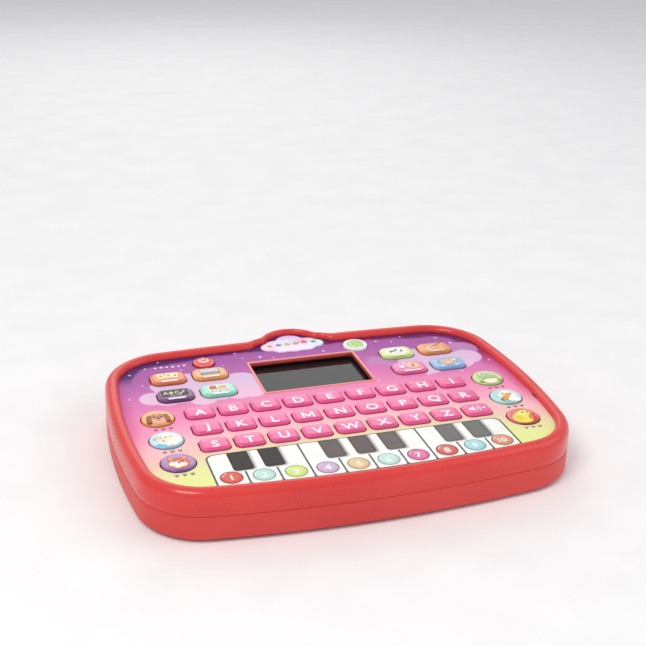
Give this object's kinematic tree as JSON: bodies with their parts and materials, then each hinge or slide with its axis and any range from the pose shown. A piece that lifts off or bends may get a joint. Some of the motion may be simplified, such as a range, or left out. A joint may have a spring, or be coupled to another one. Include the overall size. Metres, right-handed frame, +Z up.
{
  "type": "learning computer toy",
  "caption": "Slab-shaped electronic learning toy with a raised rim, sprung letter, mode and animal keys, a recessed dark display, a printed touch piano and a cloud-shaped crest.",
  "frame": {"origin": "centre of the outline in plan, on the plane that the four rubber feet stand on", "axes": "+X to the right of someone using it, +Y away from them towards the crest, +Z up out of the keys"},
  "size_m": [0.2262, 0.172, 0.027],
  "materials": {
    "shell_coral": "semi-gloss moulded ABS, fine mould texture on the rear",
    "printed_film": "satin printed film, purple through pink to yellow-green",
    "badge": "glossy moulded cloud",
    "smoked_window": "polished smoked acrylic",
    "board": "solder-masked laminate",
    "led_panel": "light plastic with dot lamps",
    "silicone": "matt silicone rubber",
    "touch_sheet": "polyester sheet with printed tracks",
    "speaker": "pressed basket and paper cone",
    "cell": "wrapped steel can",
    "contact_metal": "nickel plated spring steel",
    "wire": "PVC insulation",
    "screw_steel": "zinc plated",
    "foot_rubber": "matt",
    "key_pink": "glossy moulded cap, white legend",
    "power_red": "glossy domed cap, white mark",
    "green_cap": "translucent green dome in a white collar",
    "mode_orange": "glossy moulded cap with an inlaid picture",
    "mode_amber": "glossy moulded cap with an inlaid picture",
    "mode_lime": "glossy moulded cap with an inlaid picture",
    "mode_tangerine": "glossy moulded cap with an inlaid picture",
    "mode_violet": "glossy moulded cap with an inlaid picture",
    "mode_mint": "glossy moulded cap with an inlaid picture",
    "mode_rose": "glossy moulded cap with an inlaid picture",
    "mode_blue": "glossy moulded cap with an inlaid picture",
    "dog_amber": "glossy moulded cap with an inlaid picture",
    "sheep_sky": "glossy moulded cap with an inlaid picture",
    "cat_violet": "glossy moulded cap with an inlaid picture",
    "frog_lime": "glossy moulded cap with an inlaid picture",
    "duck_teal": "glossy moulded cap with an inlaid picture",
    "bird_coral": "glossy moulded cap with an inlaid picture"
  },
  "bodies": {
    "housing": {"front_shell": "shell_coral", "rear_shell": "shell_coral", "face_overlay": "printed_film", "crest_badge": "badge", "screen_window": "smoked_window", "main_board": "board", "led_matrix": "led_panel", "key_mat": "silicone", "piano_membrane": "touch_sheet", "speaker": "speaker", "battery_cells": "cell", "battery_contacts": "contact_metal", "lead_wires": "wire", "case_screws": "screw_steel", "rubber_feet": "foot_rubber"},
    "battery_door": {"battery_door": "shell_coral", "door_screw": "screw_steel"},
    "key_a": {"key_a": "key_pink"},
    "key_b": {"key_b": "key_pink"},
    "key_c": {"key_c": "key_pink"},
    "key_d": {"key_d": "key_pink"},
    "key_e": {"key_e": "key_pink"},
    "key_f": {"key_f": "key_pink"},
    "key_g": {"key_g": "key_pink"},
    "key_h": {"key_h": "key_pink"},
    "key_i": {"key_i": "key_pink"},
    "key_j": {"key_j": "key_pink"},
    "key_k": {"key_k": "key_pink"},
    "key_l": {"key_l": "key_pink"},
    "key_m": {"key_m": "key_pink"},
    "key_n": {"key_n": "key_pink"},
    "key_o": {"key_o": "key_pink"},
    "key_p": {"key_p": "key_pink"},
    "key_q": {"key_q": "key_pink"},
    "key_r": {"key_r": "key_pink"},
    "key_s": {"key_s": "key_pink"},
    "key_t": {"key_t": "key_pink"},
    "key_u": {"key_u": "key_pink"},
    "key_v": {"key_v": "key_pink"},
    "key_w": {"key_w": "key_pink"},
    "key_x": {"key_x": "key_pink"},
    "key_y": {"key_y": "key_pink"},
    "key_z": {"key_z": "key_pink"},
    "key_volume": {"key_volume": "key_pink"},
    "mode_card_key": {"mode_card_key": "mode_orange"},
    "mode_book_key": {"mode_book_key": "mode_amber"},
    "mode_film_key": {"mode_film_key": "mode_lime"},
    "mode_music_key": {"mode_music_key": "mode_tangerine"},
    "mode_slate_key": {"mode_slate_key": "mode_violet"},
    "mode_piano_key": {"mode_piano_key": "mode_mint"},
    "mode_quiz_key": {"mode_quiz_key": "mode_rose"},
    "mode_farm_key": {"mode_farm_key": "mode_blue"},
    "dog_key": {"dog_key": "dog_amber"},
    "sheep_key": {"sheep_key": "sheep_sky"},
    "cat_key": {"cat_key": "cat_violet"},
    "frog_key": {"frog_key": "frog_lime"},
    "duck_key": {"duck_key": "duck_teal"},
    "bird_key": {"bird_key": "bird_coral"},
    "power_button": {"power_button": "power_red"},
    "green_button": {"green_button": "green_cap"}
  },
  "joints": [
    {"name": "key_a_press", "type": "slide", "parent": "housing", "child": "key_a", "axis": [0, 0, -1], "range_m": [0, 0.001], "stiffness_N_per_m": 700, "deforming": ["key_mat"]},
    {"name": "key_b_press", "type": "slide", "parent": "housing", "child": "key_b", "axis": [0, 0, -1], "range_m": [0, 0.001], "stiffness_N_per_m": 700, "deforming": ["key_mat"]},
    {"name": "key_c_press", "type": "slide", "parent": "housing", "child": "key_c", "axis": [0, 0, -1], "range_m": [0, 0.001], "stiffness_N_per_m": 700, "deforming": ["key_mat"]},
    {"name": "key_d_press", "type": "slide", "parent": "housing", "child": "key_d", "axis": [0, 0, -1], "range_m": [0, 0.001], "stiffness_N_per_m": 700, "deforming": ["key_mat"]},
    {"name": "key_e_press", "type": "slide", "parent": "housing", "child": "key_e", "axis": [0, 0, -1], "range_m": [0, 0.001], "stiffness_N_per_m": 700, "deforming": ["key_mat"]},
    {"name": "key_f_press", "type": "slide", "parent": "housing", "child": "key_f", "axis": [0, 0, -1], "range_m": [0, 0.001], "stiffness_N_per_m": 700, "deforming": ["key_mat"]},
    {"name": "key_g_press", "type": "slide", "parent": "housing", "child": "key_g", "axis": [0, 0, -1], "range_m": [0, 0.001], "stiffness_N_per_m": 700, "deforming": ["key_mat"]},
    {"name": "key_h_press", "type": "slide", "parent": "housing", "child": "key_h", "axis": [0, 0, -1], "range_m": [0, 0.001], "stiffness_N_per_m": 700, "deforming": ["key_mat"]},
    {"name": "key_i_press", "type": "slide", "parent": "housing", "child": "key_i", "axis": [0, 0, -1], "range_m": [0, 0.001], "stiffness_N_per_m": 700, "deforming": ["key_mat"]},
    {"name": "key_j_press", "type": "slide", "parent": "housing", "child": "key_j", "axis": [0, 0, -1], "range_m": [0, 0.001], "stiffness_N_per_m": 700, "deforming": ["key_mat"]},
    {"name": "key_k_press", "type": "slide", "parent": "housing", "child": "key_k", "axis": [0, 0, -1], "range_m": [0, 0.001], "stiffness_N_per_m": 700, "deforming": ["key_mat"]},
    {"name": "key_l_press", "type": "slide", "parent": "housing", "child": "key_l", "axis": [0, 0, -1], "range_m": [0, 0.001], "stiffness_N_per_m": 700, "deforming": ["key_mat"]},
    {"name": "key_m_press", "type": "slide", "parent": "housing", "child": "key_m", "axis": [0, 0, -1], "range_m": [0, 0.001], "stiffness_N_per_m": 700, "deforming": ["key_mat"]},
    {"name": "key_n_press", "type": "slide", "parent": "housing", "child": "key_n", "axis": [0, 0, -1], "range_m": [0, 0.001], "stiffness_N_per_m": 700, "deforming": ["key_mat"]},
    {"name": "key_o_press", "type": "slide", "parent": "housing", "child": "key_o", "axis": [0, 0, -1], "range_m": [0, 0.001], "stiffness_N_per_m": 700, "deforming": ["key_mat"]},
    {"name": "key_p_press", "type": "slide", "parent": "housing", "child": "key_p", "axis": [0, 0, -1], "range_m": [0, 0.001], "stiffness_N_per_m": 700, "deforming": ["key_mat"]},
    {"name": "key_q_press", "type": "slide", "parent": "housing", "child": "key_q", "axis": [0, 0, -1], "range_m": [0, 0.001], "stiffness_N_per_m": 700, "deforming": ["key_mat"]},
    {"name": "key_r_press", "type": "slide", "parent": "housing", "child": "key_r", "axis": [0, 0, -1], "range_m": [0, 0.001], "stiffness_N_per_m": 700, "deforming": ["key_mat"]},
    {"name": "key_s_press", "type": "slide", "parent": "housing", "child": "key_s", "axis": [0, 0, -1], "range_m": [0, 0.001], "stiffness_N_per_m": 700, "deforming": ["key_mat"]},
    {"name": "key_t_press", "type": "slide", "parent": "housing", "child": "key_t", "axis": [0, 0, -1], "range_m": [0, 0.001], "stiffness_N_per_m": 700, "deforming": ["key_mat"]},
    {"name": "key_u_press", "type": "slide", "parent": "housing", "child": "key_u", "axis": [0, 0, -1], "range_m": [0, 0.001], "stiffness_N_per_m": 700, "deforming": ["key_mat"]},
    {"name": "key_v_press", "type": "slide", "parent": "housing", "child": "key_v", "axis": [0, 0, -1], "range_m": [0, 0.001], "stiffness_N_per_m": 700, "deforming": ["key_mat"]},
    {"name": "key_w_press", "type": "slide", "parent": "housing", "child": "key_w", "axis": [0, 0, -1], "range_m": [0, 0.001], "stiffness_N_per_m": 700, "deforming": ["key_mat"]},
    {"name": "key_x_press", "type": "slide", "parent": "housing", "child": "key_x", "axis": [0, 0, -1], "range_m": [0, 0.001], "stiffness_N_per_m": 700, "deforming": ["key_mat"]},
    {"name": "key_y_press", "type": "slide", "parent": "housing", "child": "key_y", "axis": [0, 0, -1], "range_m": [0, 0.001], "stiffness_N_per_m": 700, "deforming": ["key_mat"]},
    {"name": "key_z_press", "type": "slide", "parent": "housing", "child": "key_z", "axis": [0, 0, -1], "range_m": [0, 0.001], "stiffness_N_per_m": 700, "deforming": ["key_mat"]},
    {"name": "key_volume_press", "type": "slide", "parent": "housing", "child": "key_volume", "axis": [0, 0, -1], "range_m": [0, 0.001], "stiffness_N_per_m": 700, "deforming": ["key_mat"]},
    {"name": "mode_card_key_press", "type": "slide", "parent": "housing", "child": "mode_card_key", "axis": [0, 0, -1], "range_m": [0, 0.001], "stiffness_N_per_m": 700, "deforming": ["key_mat"]},
    {"name": "mode_book_key_press", "type": "slide", "parent": "housing", "child": "mode_book_key", "axis": [0, 0, -1], "range_m": [0, 0.001], "stiffness_N_per_m": 700, "deforming": ["key_mat"]},
    {"name": "mode_film_key_press", "type": "slide", "parent": "housing", "child": "mode_film_key", "axis": [0, 0, -1], "range_m": [0, 0.001], "stiffness_N_per_m": 700, "deforming": ["key_mat"]},
    {"name": "mode_music_key_press", "type": "slide", "parent": "housing", "child": "mode_music_key", "axis": [0, 0, -1], "range_m": [0, 0.001], "stiffness_N_per_m": 700, "deforming": ["key_mat"]},
    {"name": "mode_slate_key_press", "type": "slide", "parent": "housing", "child": "mode_slate_key", "axis": [0, 0, -1], "range_m": [0, 0.001], "stiffness_N_per_m": 700, "deforming": ["key_mat"]},
    {"name": "mode_piano_key_press", "type": "slide", "parent": "housing", "child": "mode_piano_key", "axis": [0, 0, -1], "range_m": [0, 0.001], "stiffness_N_per_m": 700, "deforming": ["key_mat"]},
    {"name": "mode_quiz_key_press", "type": "slide", "parent": "housing", "child": "mode_quiz_key", "axis": [0, 0, -1], "range_m": [0, 0.001], "stiffness_N_per_m": 700, "deforming": ["key_mat"]},
    {"name": "mode_farm_key_press", "type": "slide", "parent": "housing", "child": "mode_farm_key", "axis": [0, 0, -1], "range_m": [0, 0.001], "stiffness_N_per_m": 700, "deforming": ["key_mat"]},
    {"name": "dog_key_press", "type": "slide", "parent": "housing", "child": "dog_key", "axis": [0, 0, -1], "range_m": [0, 0.001], "stiffness_N_per_m": 700, "deforming": ["key_mat"]},
    {"name": "sheep_key_press", "type": "slide", "parent": "housing", "child": "sheep_key", "axis": [0, 0, -1], "range_m": [0, 0.001], "stiffness_N_per_m": 700, "deforming": ["key_mat"]},
    {"name": "cat_key_press", "type": "slide", "parent": "housing", "child": "cat_key", "axis": [0, 0, -1], "range_m": [0, 0.001], "stiffness_N_per_m": 700, "deforming": ["key_mat"]},
    {"name": "frog_key_press", "type": "slide", "parent": "housing", "child": "frog_key", "axis": [0, 0, -1], "range_m": [0, 0.001], "stiffness_N_per_m": 700, "deforming": ["key_mat"]},
    {"name": "duck_key_press", "type": "slide", "parent": "housing", "child": "duck_key", "axis": [0, 0, -1], "range_m": [0, 0.001], "stiffness_N_per_m": 700, "deforming": ["key_mat"]},
    {"name": "bird_key_press", "type": "slide", "parent": "housing", "child": "bird_key", "axis": [0, 0, -1], "range_m": [0, 0.001], "stiffness_N_per_m": 700, "deforming": ["key_mat"]},
    {"name": "power_button_press", "type": "slide", "parent": "housing", "child": "power_button", "axis": [0, 0, -1], "range_m": [0, 0.001], "stiffness_N_per_m": 700, "deforming": ["key_mat"]},
    {"name": "green_button_press", "type": "slide", "parent": "housing", "child": "green_button", "axis": [0, 0, -1], "range_m": [0, 0.001], "stiffness_N_per_m": 700, "deforming": ["key_mat"]},
    {"name": "battery_door_hinge", "type": "hinge", "parent": "housing", "child": "battery_door", "pos_m": [0, -0.03915, 0.0012], "axis": [-1, 0, 0], "range_deg": [0, 70]}
  ]
}
